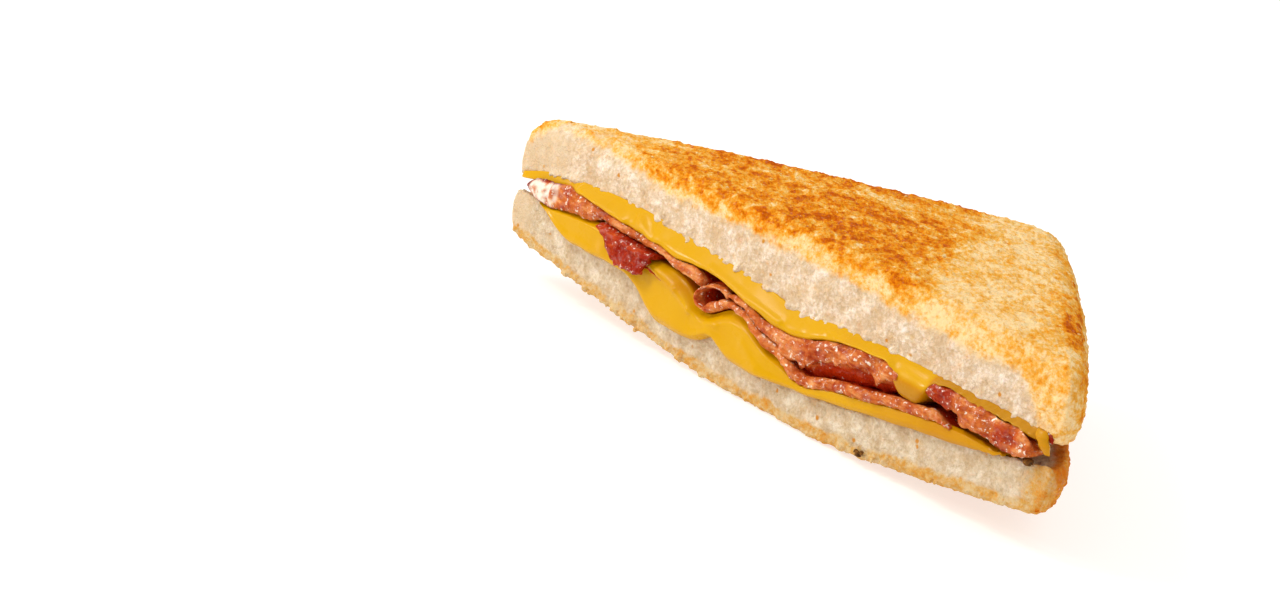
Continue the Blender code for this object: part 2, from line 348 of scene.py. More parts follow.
def linear(code):
    """The linear colour of an sRGB hex code."""
    values = [int(code[i : i + 2], 16) / 255 for i in (0, 2, 4)]
    return [v / 12.92 if v <= 0.04045 else ((v + 0.055) / 1.055) ** 2.4 for v in values]


def rgba(colour):
    """A linear colour, or an sRGB hex code, as an opaque colour for a socket."""
    return (*(linear(colour) if isinstance(colour, str) else colour), 1)


def add_node(tree, kind, sockets=None, ramp=None, **settings):
    """Adds a node. Each of its sockets is set to a value, or linked to another node's output,
    or to a sum: a list of a number and the (output, weight) pairs to add to it. Sockets that
    share a name go by number: a map range reads from 1 to 2 and gives 3 to 4, and a mix of
    colours goes from 6 to 7 with its share in 0."""
    node = tree.nodes.new("ShaderNode" + kind)
    for key, value in settings.items():
        setattr(node, key, value)
    for key, value in (sockets or {}).items():
        if isinstance(value, list):
            total, *terms = value
            for source, weight in terms:
                step = {0: source, 1: weight, 2: total}
                total = add_node(tree, "Math", step, operation="MULTIPLY_ADD").outputs[0]
            value = total
        if isinstance(value, bpy.types.NodeSocket):
            tree.links.new(value, node.inputs[key])
        else:
            node.inputs[key].default_value = value
    if ramp:
        stops = node.color_ramp.elements
        while len(stops) < len(ramp):
            stops.new(0.5)
        for stop, (position, colour) in zip(stops, ramp):
            stop.position = position
            stop.color = rgba(colour)
    return node


def new_material(name, pattern, *look):
    """A material around the surface sockets that its pattern function works out."""
    material = bpy.data.materials.new(name)
    material.use_nodes = True
    tree = material.node_tree
    tree.nodes.clear()
    surface = add_node(tree, "BsdfPrincipled", pattern(tree, *look))
    add_node(tree, "OutputMaterial", {"Surface": surface.outputs[0]})
    return material


def per(size):
    """Scale of a pattern whose grains are size millimetres across."""
    return 1 / (size * MM)


NOISE = ("Vector", "Scale", "Detail", "Roughness", "Distortion")  # sockets of a noise texture


def white_bread_griddled(tree, look, crumb_colours, toast_colours):
    """White sandwich loaf, fried in butter on a griddle: a matt, faintly translucent crumb,
    mottled from pores darkened as painted shade to small bright grains painted as glints, under
    a grainy golden skin that browned in blotches and streaks where it pressed on the hot plate."""
    place = add_node(tree, "TexCoord").outputs["Object"]
    toasted, browning, crust, ends = (
        add_node(tree, "Attribute", attribute_name=mark).outputs["Fac"]
        for mark in ("toasted", "browning", "crust", "smooth_end")
    )
    dragged = add_node(
        tree,
        "Mapping",
        {"Vector": place, "Rotation": (0, 0, math.pi / 4), "Scale": (1, 2.2, 1)},
        vector_type="TEXTURE",
    ).outputs[0]
    fine, medium, cloud, patch, butter, toast_fine, toast_medium, streak = (
        add_node(tree, "TexNoise", dict(zip(NOISE, settings))).outputs["Fac"]
        for settings in (
            (place, per(0.75), 3, 0.7),
            (place, per(1.9), 4, 0.7),
            (place, per(3.6), 2, 0.5),
            (place, per(9), 4, 0.6),
            (place, per(0.7), 1, 0.5),
            (dragged, per(0.7), 3, 0.7),
            (dragged, per(1.6), 4, 0.7),
            (dragged, per(2.4), 4, 0.7, 0.3),
        )
    )

    # Crumb: grains under 1 mm in soft clouds, from pores darkened as painted shade to bright grains
    # painted as glints, with a few toasted specks
    grain, speck = (
        add_node(tree, "TexVoronoi", {"Vector": place, "Scale": per(size)}).outputs["Distance"]
        for size in (1.2, 4.5)
    )
    grain, speck = (
        add_node(tree, "MapRange", {"Value": spots, 1: outside, 2: inside, 4: most}).outputs[0]
        for spots, outside, inside, most in (
            ([0, (grain, 1), (fine, 0.3)], 0.44, 0.26, 0.35),
            ([0, (speck, 1), (fine, 0.1)], 0.17, 0.12, 1),
        )
    )

    # Toast: streaky blotches of 2.4 mm over patches of 9 mm, all of it grainy and dragged one way
    swing, depth = [-0.5, (streak, 1)], [0.8, (browning, 2)]
    level = [-1.4, (swing, depth), (browning, 0.6), (toast_fine, 1.1), (toast_medium, 1), (patch, 1)]
    edge = add_node(
        tree,
        "MapRange",
        {"Value": [0, (toast_medium, 0.9), (fine, 0.4), (toasted, 1)], 1: 0.55, 2: 1.35},
        interpolation_type="SMOOTHSTEP",
    ).outputs[0]
    crust_colours = (look.golden_colour, look.crust_colour, look.brown_colour)
    toast_colours = (*toast_colours, look.brown_colour, look.dark_colour)
    colour, crust_colour, toast = (
        add_node(tree, "ValToRGB", {"Fac": share}, ramp=[*zip(stops, colours)]).outputs[0]
        for share, stops, colours in (
            ([-0.6, (fine, 0.9), (cloud, 0.8), (medium, 0.5)], (0.28, 0.5, 0.74), crumb_colours),
            ([-0.5, (patch, 1.2), (medium, 0.8)], (0.3, 0.5, 0.72), crust_colours),
            (level, (0, 0.3, 0.56, 0.8, 1), toast_colours),
        )
    )
    for share, layer in (
        # bright grains: painted glints
        (grain, rgba(crumb_colours[2])),
        ([0, (ends, 0.75)], rgba(look.end_colour)),
        (speck, rgba(look.speck_colour)),
        (crust, crust_colour),
        (edge, toast),
    ):
        colour = add_node(tree, "Mix", {0: share, 6: colour, 7: layer}, data_type="RGBA").outputs[2]

    # Butter on the grains: glossy spots under 1 mm across
    wet = add_node(tree, "MapRange", {"Value": butter, 1: 0.6, 2: 0.67, 4: 0.8}).outputs[0]
    normal = add_node(
        tree, "Bump", {"Height": [0, (fine, 1), (medium, 1)], "Distance": 0.55 * MM}
    ).outputs[0]
    return {
        "Base Color": colour,
        "Roughness": 0.8,
        "IOR": 1.4,
        "Specular IOR Level": 0.06,
        "Normal": normal,
        "Coat Weight": wet,
        "Coat Roughness": 0.2,
        "Coat Normal": normal,
        "Subsurface Weight": 0.25,
        "Subsurface Radius": (1.0, 0.6, 0.3),
        "Subsurface Scale": 1.2 * MM,
    }


def processed_cheese_melted(tree, look):
    """Processed cheese slices, melted: a smooth, fatty surface with a low gloss, soft folds and
    a waxy glow in thin edges."""
    place = add_node(tree, "TexCoord").outputs["Object"]
    deep = add_node(tree, "Attribute", attribute_name="deep").outputs["Fac"]
    film, cloud = (
        add_node(tree, "TexNoise", dict(zip(NOISE, settings))).outputs["Fac"]
        for settings in ((place, per(4), 3, 0.5), (place, per(9), 2, 0.5))
    )
    # The colour darkens with the deep mark, which is mostly painted shade
    colour = add_node(
        tree,
        "ValToRGB",
        {"Fac": [0, (cloud, 0.32), (deep, 0.8)]},
        ramp=[(0.17, look.colour), (0.67, look.deep_colour), (0.96, look.darkest_shade_colour)],
    ).outputs[0]
    rough = add_node(tree, "MapRange", {"Value": film, 1: 0.3, 2: 0.7, 3: 0.2, 4: 0.36}).outputs[0]
    normal = add_node(
        tree, "Bump", {"Height": film, "Distance": 0.1 * MM, "Strength": 0.5}
    ).outputs[0]
    return {
        "Base Color": colour,
        "Roughness": rough,
        "IOR": 1.46,
        "Specular IOR Level": 0.1,
        "Normal": normal,
        "Coat Weight": 0.1,
        "Coat Roughness": 0.15,
        "Subsurface Weight": 0.1,
        "Subsurface Radius": (1.0, 0.7, 0.1),
        "Subsurface Scale": 1.5 * MM,
    }


def back_bacon_grilled(tree, look):
    """Cured back bacon, grilled: moist fibres that run along the rasher, pale spots about 1 mm
    across painted as wet glints under a wet coat, and a deeper red where it lies folded and
    moist, which also darkens the meat behind the cut as painted shade. The fibres of real bacon
    are finer, and are drawn as coarse as they need to show."""
    place = add_node(tree, "TexCoord").outputs["Object"]
    fat, dark, moist = (
        add_node(tree, "Attribute", attribute_name=mark).outputs["Fac"]
        for mark in ("fat", "seared", "moist")
    )
    lengthwise = add_node(
        tree, "Mapping", {"Vector": place, "Scale": (4, 2, 1)}, vector_type="TEXTURE"
    ).outputs[0]
    fibre, beads, patch, painted_glints = (
        add_node(tree, "TexNoise", dict(zip(NOISE, settings))).outputs["Fac"]
        for settings in (
            (lengthwise, per(0.9), 5, 0.65),
            (place, per(1.1), 2, 0.5),
            (place, per(3), 3, 0.6),
            (place, per(0.8), 2, 0.6),
        )
    )
    level = [-0.35, (fibre, 1.3), (patch, 0.8), (dark, -0.6)]
    dry_colours = (look.deep_colour, look.red_colour, look.meat_colour, look.pink_colour)
    # The moist reds also stand as painted shade on the meat behind the cut
    colour, moist_and_shaded_meat = (
        add_node(tree, "ValToRGB", {"Fac": level}, ramp=[*zip(stops, colours)]).outputs[0]
        for stops, colours in (
            ((0.12, 0.36, 0.66, 0.98), dry_colours),
            ((0.2, 1), (look.inner_and_shaded_colour, look.moist_and_shaded_colour)),
        )
    )
    # Pale spots painted as wet glints, and the wet coat
    painted_glints, wet = (
        add_node(tree, "MapRange", {"Value": share, 1: none, 2: full, 4: most}).outputs[0]
        for share, none, full, most in (
            ([0, (painted_glints, 1), (beads, 0.35), (moist, -0.05)], 0.79, 0.86, 0.85),
            (beads, 0.48, 0.56, 0.8),
        )
    )
    # The real fat and the painted glints share the fat colour
    fat_and_glints = add_node(tree, "Math", {0: fat, 1: painted_glints}, operation="MAXIMUM").outputs[0]
    for share, layer in ((moist, moist_and_shaded_meat), (fat_and_glints, rgba(look.fat_and_glint_colour))):
        colour = add_node(tree, "Mix", {0: share, 6: colour, 7: layer}, data_type="RGBA").outputs[2]
    normal = add_node(
        tree, "Bump", {"Height": [0, (beads, 1), (fibre, 0.5)], "Distance": 0.5 * MM}
    ).outputs[0]
    return {
        "Base Color": colour,
        "Roughness": 0.4,
        "IOR": 1.42,
        "Specular IOR Level": 0.08,
        "Normal": normal,
        "Coat Weight": wet,
        "Coat Roughness": 0.12,
        "Coat Normal": normal,
        "Subsurface Weight": 0.2,
        "Subsurface Radius": (1.0, 0.3, 0.15),
        "Subsurface Scale": 1.5 * MM,
    }


def bread_dark_crumb(tree):
    """Crumbs: black-brown, matt and porous."""
    place = add_node(tree, "TexCoord").outputs["Object"]
    grain = add_node(
        tree, "TexNoise", dict(zip(NOISE, (place, per(0.6), 3, 0.7)))
    ).outputs["Fac"]
    colour = add_node(
        tree, "ValToRGB", {"Fac": grain}, ramp=[(0.3, "3A2006"), (0.55, "7A4C14"), (0.75, "B07C34")]
    ).outputs[0]
    return {
        "Base Color": colour,
        "Roughness": 0.7,
        "Specular IOR Level": 0.2,
        "Normal": add_node(tree, "Bump", {"Height": grain, "Distance": 0.4 * MM}).outputs[0],
    }


def opal_acrylic_light_table(tree, look):
    """Opal acrylic sheet on a light table: matt white that glows evenly and takes soft shadows."""
    return {
        "Base Color": rgba(look.floor_colour),
        "Roughness": 0.9,
        "Emission Color": rgba("FFFDFB"),
        "Emission Strength": look.floor_glow,
    }


# ---- Bread


def toast_border(x):
    """Height on the cut where the golden skin of the top slice fades into white crumb."""
    right_end = 10 * ease((x - 63) / 13)
    left_end = 3.5 * ease((-68 - x) / 7)
    return 29.6 + 2.2 * bump(x, -62, 20) - 1.8 * ease((x - 10) / 45) - left_end - right_end


def from_side(x, y):
    """Distance in from the baked sides of the loaf, whose corners are rounded."""
    reach = HALF_CUT / math.sqrt(2) - LOAF_CORNER
    past_x = np.abs(y + x) / math.sqrt(2) - reach
    past_y = np.abs(y - x) / math.sqrt(2) - reach
    beyond = np.hypot(np.clip(past_x, 0, None), np.clip(past_y, 0, None))
    return LOAF_CORNER - beyond - np.clip(np.maximum(past_x, past_y), None, 0)


def griddle_browning(x, y):
    """How strongly the griddle browned the top, 0 to 1, at X and depth y."""
    left = ease((x + 52 + 0.35 * y) / 12)
    right = ease((44 - 0.68 * y - x) / 12)
    edge = HALF_CUT - y + x  # distance from the left crust, times 1.4
    rim = 0.9 * bump(edge, 5, 9) * ease((x + 62) / 20) * ease((4 - x) / 14)
    pale_lane = 0.35 * bump(edge, 24, 6) * ease((x + 30) / 20)
    heart = 0.25 * bump(x, 4, 26) * bump(y, 26, 20) + 0.2 * bump(x, 8, 18) * bump(y, 4, 9)
    inner = left * right * (0.62 + heart - pale_lane)
    smudge = 0.8 * bump(x + y, 77, 5) * bump(x, 55, 9)
    crust_side = 0.5 * bump(x + y, 81, 4) * ease((y - 1) / 6)
    left_end = 0.4 * ease((-42 - x) / 14)
    return np.clip(np.maximum(inner, rim * right) + smudge + crust_side + left_end, 0, 1)


def crumb_relief(points, seed):
    """Open crumb: small pits between rounded grains."""
    near, own = seed_distance(points, 1.7, seed)
    pits = -0.4 * np.clip(1 - near / 0.4, 0, 1) * (own > 0.5)
    small, _ = seed_distance(points, 1.0, seed + 1)
    grains = 0.22 * (0.5 - small)
    return pits + grains + 0.22 * soft_noise(points, 2.6, seed) + 0.16 * soft_noise(points, 9, seed)


def toast_relief(points, seed):
    """Grainy skin with small blisters."""
    near, own = seed_distance(points, 1.3, seed)
    grains = 0.38 * (0.6 - near) + 0.3 * (own - 0.4) * np.clip(1 - near / 0.6, 0, 1)
    return grains + 0.2 * soft_noise(points, 2.4, seed) + 0.2 * soft_noise(points, 14, seed)


def slice_marks(points, upper, seed):
    """The marks that tell the material crumb, toast and crust apart."""
    x, y, z = points.T
    wander = 0.9 * soft_noise(points, 5, seed) + 0.6 * soft_noise(points, 1.8, seed + 1)
    side = ease((3.0 - from_side(x, y) + 0.45 * wander) / 1.55)
    side = side * ease((y - 1.5 + 0.8 * wander) / 3 + (x > 0))
    if upper:
        top = toast_border(x)
        toasted = ease((z - top + 1.1 * wander) / (3.8 + 3 * ease((x - 60) / 10)))
        margin = 1.2 + 1.5 * ease((x + 10) / 20)
        browning = griddle_browning(x, y) * ease((z - top - margin + wander) / 3)
        smooth = ease((-60.5 - x + 0.5 * wander) / (1.2 + 0.5 * (z - 22))) * ease(1.5 - y)
    else:
        rim = 1 - ease((y + 1) / 5)
        height = z - underside(x, y)
        toasted = ease((2.2 + 1.1 * rim - height + 0.8 * wander) / 1.6)
        browning = (0.45 + 0.3 * soft_noise(points, 12, seed)) * (1 - 0.95 * rim)
        amber = bump(x, 76, 1.6, power=4) * bump(z, 9.8, 2.6, power=4)
        browning = browning + 0.5 * amber * rim
        smooth = ease((-69 - x + 0.5 * wander) / 4) * ease(1.5 - y)
        toasted = np.maximum(toasted, 0.7 * ease((x - 70 + 1.5 * wander) / 5) * rim)
    marks = {"toasted": toasted, "browning": browning, "crust": side, "smooth_end": smooth}
    return {mark: np.clip(values, 0, 1) for mark, values in marks.items()}


def edge_lumps(height, count, size, seed):
    """Crumbs along an edge of the cut, whose height is given at each x."""
    random = np.random.default_rng(seed)
    x = random.uniform(*LUMPY_EDGE, count)
    x = x[soft_noise(across(x), 4, seed) > random.uniform(-0.9, 0.3, count)]
    count = len(x)
    big = size * (0.45 + 1.1 * random.random(count) ** 3)
    y = -LUMPS_OUT + big * random.uniform(-0.5, 0.9, count)
    z = height(x) + big * random.uniform(-0.7, 0.5, count)
    sizes = np.stack((big, big * 0.8, big * random.uniform(0.6, 1.1, count)), 1)
    return lumps(np.stack((x, y, z), 1), sizes, seed)


def build_slice(name, node, look):
    upper, seed = node == "bread_top", SEEDS[name]
    size = (1 if upper else 0.75) * look.crumb_size / MM
    if upper:
        added = edge_lumps(lambda x: crumb_edge(x) + 0.3, UPPER_LUMPS, size, seed)
    else:
        added = edge_lumps(lambda x: underside(x, 0) + 0.9, LOWER_LUMPS, size, seed)
    voxel = look.skin_cell / MM * 1
    mesh = remeshed(name, node, added, voxel)
    points, normals = read_points(mesh)
    marks = slice_marks(points, upper, seed)
    hard = np.maximum(marks["toasted"], marks["crust"])
    crumb = crumb_relief(points, seed) * (1 - 0.6 * marks["smooth_end"])
    skin = toast_relief(points, seed)
    shift = mix(crumb, skin, hard) * look.relief
    points = points + normals * shift[:, None]
    if not upper:
        x, y, z = points.T
        points[:, 2] += crumb_lip(x, y) * ease((z - bread_crest(x) + 3) / 3)
    points[:, 2] = np.clip(points[:, 2], 0, HIGHEST)
    write_points(mesh, points)
    keep_marks(mesh, marks)
    return mesh


# ---- Cheese


def across(x, seed=0):
    """Points along X alone, for noise that changes only along a piece."""
    return np.stack((x, np.zeros_like(x) + 3.3 * seed, np.zeros_like(x)), 1)


TOP_FOLDS = [
    (-55, 24.2, -40, 22.0, 1.0, 0.6),
    (-36, 24.0, -30, 20.8, 0.8, 0.6),
    (-13, 21.6, 8, 18.4, 0.7, 0.5),
    (20, 21.2, 34, 20.8, 0.7, 0.3),
]
LOWER_FOLDS = [
    (-44, 15.5, -40, 18.5, 1.6, 0.5),
    (-29, 16.6, -21, 14.6, 0.6, 0.35),
    (-21, 14.6, -16, 12.2, 0.6, 0.35),
    (-16, 12.2, -8, 12.0, 0.7, 0.3),
    (0, 11.2, 5, 8.4, 1.1, 0.3),
]


def top_cheese(u, v, w):
    x = mix(-75, 73.5, u)
    drip = bump(x, 42.6, 4.4, power=4)
    dry = ease((x - 47) / 3)
    full = ease((x + 59.5) / 3.5)
    wave = 0.25 * soft_noise(across(x), 5, 3) + 0.4 * dry * soft_noise(across(x), 1.4, 6)
    low = top_hem(x) + mix(0.6, -4.6, drip) + wave + 0.9 * bump(x, -60, 3.5, 1.5)
    high = crumb_edge(x) + 0.6
    z = mix(low, high, w)
    uneven = 0.5 * soft_noise(across(x), 9, 4) + 0.3 * soft_noise(across(x), 4, 10)
    bulge = (2.0 + uneven) * nose(u, 12) * mix(0.35, 1, full)
    swell = np.sin(np.pi * np.clip(w, 0, 1) ** mix(0.42, 0.75, drip))
    out = 0.3 + bulge * swell ** mix(1, 0.6, drip)
    out = out + 0.35 * dry * soft_noise(np.stack((x, z, z), 1), 1.3, 7)
    out = out + ridges(x, z, TOP_FOLDS)
    front = ease(1 - v / TOP_FRONT)
    y = row_depth(x, np.clip((v - TOP_FRONT) / (1 - TOP_FRONT), 0, 1), CHEESE_MARGIN, 0)
    z = np.where(v < TOP_FRONT, z, carried_back(x, z, y))
    return x, np.where(v < TOP_FRONT, -out * front, y), z


def lower_cheese(u, v, w):
    """The lower sheet hangs over the bread in front. Below its shoulder it bulges; above the
    shoulder it falls back under the bacon."""
    x = mix(-67.5, 66, u)
    hem = lower_hem(x) + 0.25 * soft_noise(across(x), 6, 5) - 0.5 * ease((x - 6) / 12)
    end = ease((x - 57) / 9)
    rise = 0.9 * ease((x - 8) / 8) * (1 - end)
    crest = cheese_crest(x)
    torn = 0.4 * end * soft_noise(across(x), 1.5, 8)
    under = bread_crest(x) + GAP
    taper = np.sqrt(1 - 0.97 * np.clip((x - 56) / 10, 0, 1) ** 2)
    z = mix(hem, crest + rise, 0.7 + (w - 0.7) * taper) + torn
    drop = line_through(
        x, (-50, 1.0), (-29, 0.7), (-21, 2.1), (-14, 1.5), (-7, 3.0), (2, 1.2), (20, 0.5)
    )
    right = ease((x - 6) / 12)
    rim = np.sqrt(np.clip(w / mix(0.16, 0.42, right), 0, 1))
    shoulder = 1 - 0.88 * ease((z - crest - rise + drop) / np.maximum(drop, 0.6))
    swell = (DRAPE - 0.9 * right) * (0.85 + 0.15 * bump(w, 0.2, 0.2)) * rim
    waves = ridges(x, z, LOWER_FOLDS) + 0.3 * soft_noise(across(x), 7, 9)
    out = 0.5 + (swell + waves * rim) * shoulder * nose(u, 14) * (1 - 0.7 * end)
    y = row_depth(x, np.clip((v - LOWER_FRONT) / (1 - LOWER_FRONT), 0, 1), CHEESE_MARGIN, 0)
    inner = carried_back(x, mix(under + crumb_lip(x, y), crest, w), y)
    hangs = v < LOWER_FRONT
    return x, np.where(hangs, -out * (1 - v / LOWER_FRONT), y), np.where(hangs, z, inner)


def build_cheese(name, cells, shape):
    places, faces = shell_grid(*cells)
    points = np.stack(shape(*places.T), 1)
    x, y, z = points.T
    # Right end of the top cheese, darkened: painted shade
    dry = ease((x - 46.5) / 2) * (z > 17)
    # The drip, darkened: painted shade
    drip = bump(x, 42.8, 5, power=4) * ease((20.5 - z) / 2) * (z > 14.5)
    # Pocket under the flap, and the sheets behind the cut, darkened: painted shade
    painted_hollow_shade = 0.45 * bump(x, -20, 6) * bump(z, 15.5, 1.6) + 0.3 * ease(y / 3)
    # deep sums that painted shade with a darkening of the lower sheet towards the right
    deep = 0.45 * ease((x - 26) / 25) * (z < 17) + 0.9 * drip + dry + painted_hollow_shade
    return new_mesh(name, points, faces, {"deep": deep})


# ---- Bacon


def under_top_cheese(x):
    return top_hem(x) - GAP


def on_lower_cheese(x):
    return cheese_crest(x) + GAP


def on_flap(x):
    return on_lower_cheese(x) + (FLAP_THICKNESS + GAP) * bump(x, -37.5, 12, power=8)


def thickness_of_two(x):
    return np.minimum(RASHER, (under_top_cheese(x) - on_lower_cheese(x) - GAP) / 2)


def upper_rasher_under(x):
    return under_top_cheese(x) - thickness_of_two(x)


def end_rasher_under(x):
    step = 1.9 * ease((x - 54.4) / 1.6) + 0.5 * ease((x - 62) / 6) - 1.0 * ease((x - 70.5) / 3)
    return np.maximum(on_lower_cheese(x), 18.6 - step)


def left_rasher_top(x):
    return under_top_cheese(x) + 1.1 * ease((-54 - x) / 4)


def left_hang(x):
    """How far the front of the left rasher hangs down: it wraps down at its tip and lifts off
    the cheese beside the curl."""
    lifted = ((-30, 0), (-25, -0.7), (-20, -1.2), (-17, -2.6), (-14, -3.2))
    return line_through(x, (-73, 0.7), (-62, 0.8), (-56, 0.3), (-50, 0.5), *lifted)


def torn_hang(x):
    """The torn front edge of the upper rasher: a frill with teeth."""
    frill = line_through(
        x, (8, 0), (11, 1.6), (18, 1.7), (20, 0.7), (29, 0.9), (31, 0.2), (40, 0.9), soft=0.5
    )
    tooth = 1.9 * bump(x, 34.6, 1.1) + 0.8 * bump(x, 15.8, 0.8) + 0.6 * bump(x, 24.2, 0.9)
    torn = 0.7 * np.abs(soft_noise(across(x, 4), 1.7, 4)) * ease((x - 8) / 3)
    return frill + tooth + torn


def room_between(x):
    """How far the upper rasher sags onto the long one behind their front edges."""
    free = upper_rasher_under(x) - on_lower_cheese(x) - thickness_of_two(x)
    return 0.85 * free * ease((x - 7) / 4)


def end_hang(x):
    return 0.5 * np.abs(soft_noise(across(x, 5), 2.6, 5))


def front_falloff(deep):
    """1 at the front edge, gone about 4 mm behind it."""
    return np.clip(1 - deep, 0, 1) ** 18


def rasher(start, end, low, high, seed, hang, folded=0.35, sag=lambda x: 0 * x):
    """A rasher between two curves of the cut, rippled along its front edge."""

    def shape(u, v, w):
        x = mix(start, end, u)
        line = across(x, seed)
        deep = v**CROWDING
        front = front_falloff(deep)
        ripple = folded * soft_noise(line, 5, seed)
        reach = BACON_REACH + 2 * folded * soft_noise(line, 4, seed + 1)
        reach = reach + 0.35 * soft_noise(line, 1.4, seed)
        y = row_depth(x, deep, BACON_MARGIN, 0)
        roll = np.sqrt(np.clip(1 - (2 * w - 1) ** 2 * 0.85, 0, 1))
        bottom = low(x) - hang(x) * front - sag(x) * ease((y - 0.4) / 2.5)
        top = high(x) + 1.2 * front
        middle, half = (bottom + top) / 2, (top - bottom) / 2 * nose(u, 10)
        z = middle + (2 * w - 1) * half + ripple * (1 - deep)
        crease = folded * soft_noise(np.stack((x, z * 1.6, w * 0), 1), 2.6, seed + 3)
        y = y - (reach * (0.5 + 0.5 * roll) + crease) * (1 - deep) ** 6
        return x, y, carried_back(x, z, y)

    return shape


def long_rasher(u, v, w):
    """The rasher on the lower cheese, whose left end curls up and over into a tube."""
    flat = np.clip((u - CURL_SHARE) / (1 - CURL_SHARE), 0, 1)
    x = mix(CURL_X, 54, flat)
    deep = v**CROWDING
    front = front_falloff(deep)
    thickness = thickness_of_two(x) + 0.4 * front * (x > CURL_X)
    in_curl = u < CURL_SHARE
    thickness = thickness * np.where(in_curl, 1 - 0.55 * front, 1 - 0.85 * ease((x - 49) / 5))
    middle = on_lower_cheese(x) + thickness / 2 + 0.3 * front * ease((x - 8) / 8)
    outward = (0.5 - w) * thickness
    tip = mix(CURL_TIP, math.radians(40), front)
    angle = mix(tip, 1.5 * math.pi, np.clip(u / CURL_SHARE, 0, 1))
    wide = 1.4 + 0.5 * front
    radius = CURL_RADIUS * (1 + 0.15 * front)
    curl_z = middle + radius + (radius + outward) * np.sin(angle)
    lean = 0.5 * (curl_z - middle) * front
    curl_x = x + (wide * CURL_RADIUS + outward) * np.cos(angle) + lean
    line = across(np.where(in_curl, CURL_X - 9 * (CURL_SHARE - u), x), 2)
    ripple = 0.3 * soft_noise(line, 5, 12) * ease((u - CURL_SHARE) / 0.1)
    x = np.where(in_curl, curl_x, x)
    z = np.where(in_curl, curl_z, middle - outward) + ripple * (1 - deep)
    z = z - 0.5 * np.abs(soft_noise(line, 1.8, 15)) * front * (w < 0.5) * ~in_curl
    reach = BACON_REACH - 0.4 * ease((x - 8) / 8)
    reach = reach + 0.6 * soft_noise(line, 4, 13) + 0.3 * soft_noise(line, 1.3, 14)
    roll = np.sqrt(np.clip(1 - (2 * w - 1) ** 2 * 0.9, 0, 1))
    y = row_depth(x, deep, BACON_MARGIN, 0) - reach * (1 - deep) ** 6 * (0.5 + 0.5 * roll)
    return x, y, carried_back(x, z, y)


def flap(u, v, w):
    """A short rasher under the left one, whose front folds down over the lower cheese."""
    inner = np.clip((v - FLAP_FRONT) / (1 - FLAP_FRONT), 0, 1)
    hang = np.clip(1 - v / FLAP_FRONT, 0, 1)
    turn = np.clip(hang / 0.4, 0, 1) * math.pi / 2
    fall = np.clip((hang - 0.4) / 0.6, 0, 1)
    x = mix(FLAP_FROM + 2, FLAP_TO - 0.5, u) + fall * (7.5 * (1 - u) - 1.5 * u)
    y = row_depth(x, inner, 3 * BACON_MARGIN, DRAPE * 0.5)
    spots = np.stack((x, fall * 6, w * 0), 1)
    thick = FLAP_THICKNESS * (1 + 0.3 * soft_noise(spots, 2, 21))
    pleat = 0.5 * soft_noise(spots, 3.2, 22) + 0.25 * soft_noise(spots, 1.4, 24)
    pleat = pleat - 0.5 * bump(fall, 0.25, 0.2)
    out = (DRAPE * 0.5 + 2 * GAP + 0.5 + thick * w + pleat) * np.sin(turn)
    over = on_lower_cheese(x) + FLAP_THICKNESS * w * np.cos(turn)
    jag = 0.6 * soft_noise(across(x), 2.2, 23) + 0.4 * soft_noise(across(x), 1.1, 25)
    drop = (FLAP_DROP + jag) * fall * (1 - 0.3 * u)
    return x, y - out, carried_back(x, over, y) - drop


def build_rasher(name, cells, shape, seed, marks):
    """marks gives each mark's value from the points and their places in the grid."""
    places, faces = shell_grid(*cells)
    mesh = new_mesh(name, np.stack(shape(*places.T), 1), faces)
    points, normals = read_points(mesh)
    facets = 0.22 * (0.4 - np.abs(soft_noise(points, 2.0, seed)))
    rough = facets + 0.08 * soft_noise(points, 0.8, seed + 1)
    write_points(mesh, points + normals * rough[:, None])
    # Meat behind the cut turns to the darker moist reds: painted shade inside the sandwich
    inside = {"moist": ease((points[:, 1] + 1.3) / 1.5)}
    keep_marks(mesh, {**inside, **marks(points, *places.T)})
    return mesh


def plain_marks(points, u, v, w):
    return {"seared": 0.1 + 0.25 * soft_noise(points, 6, 70)}


def left_marks(points, u, v, w):
    """White fat on the left end of the rasher, inside a dark rim."""
    x = points[:, 0]
    lean = 0.5 * soft_noise(points, 2.0, 31)
    middle = ease((1 - np.abs(2 * w - 1)) / 0.3 + 0.5 * lean) * ease((x + 70.2 + lean) / 1.2)
    tip = ease((-60.5 - x + 2 * lean) / 1.5)
    rim = tip * (1 - middle)
    fat = tip * middle * ease(1 + (0.2 - v) / 0.1) * ease(0.75 + 1.2 * soft_noise(points, 1.1, 33))
    return {"fat": fat, "seared": 0.1 + 0.2 * soft_noise(points, 6, 71) + rim}


def end_marks(points, u, v, w):
    x, _, z = points.T
    dark = 0.5 * ease((54.5 - x) / 2) + 0.3 * ease((17.5 - z) / 2)
    oval = bump(x, 67, 3, power=4) * bump(z, 19, 1.6, power=4)
    return {"seared": dark + 0.2 + 0.2 * oval, "moist": 0.45 * oval + 0.4 * ease((54.5 - x) / 2)}


def flap_marks(points, u, v, w):
    return {"seared": 0.75 + 0.3 * soft_noise(points, 3, 72), "moist": np.full_like(u, 0.6)}


# ---- Small pieces


def crumbs_on_toast(mesh, seed):
    """Pale crumbs that lie on the toasted skin."""
    random = np.random.default_rng(seed)
    points, normals = read_points(mesh)
    skin = np.flatnonzero((normals[:, 2] > 0.8) & (points[:, 2] > 31))
    chosen = random.choice(skin, TOAST_CRUMBS, replace=False)
    size = 0.15 + 0.25 * random.random(TOAST_CRUMBS) ** 2
    sizes = size[:, None] * random.uniform((0.8, 0.8, 0.4), (1.5, 1.5, 0.8), (TOAST_CRUMBS, 3))
    return lumps(points[chosen] + normals[chosen] * 0.1, sizes, seed)


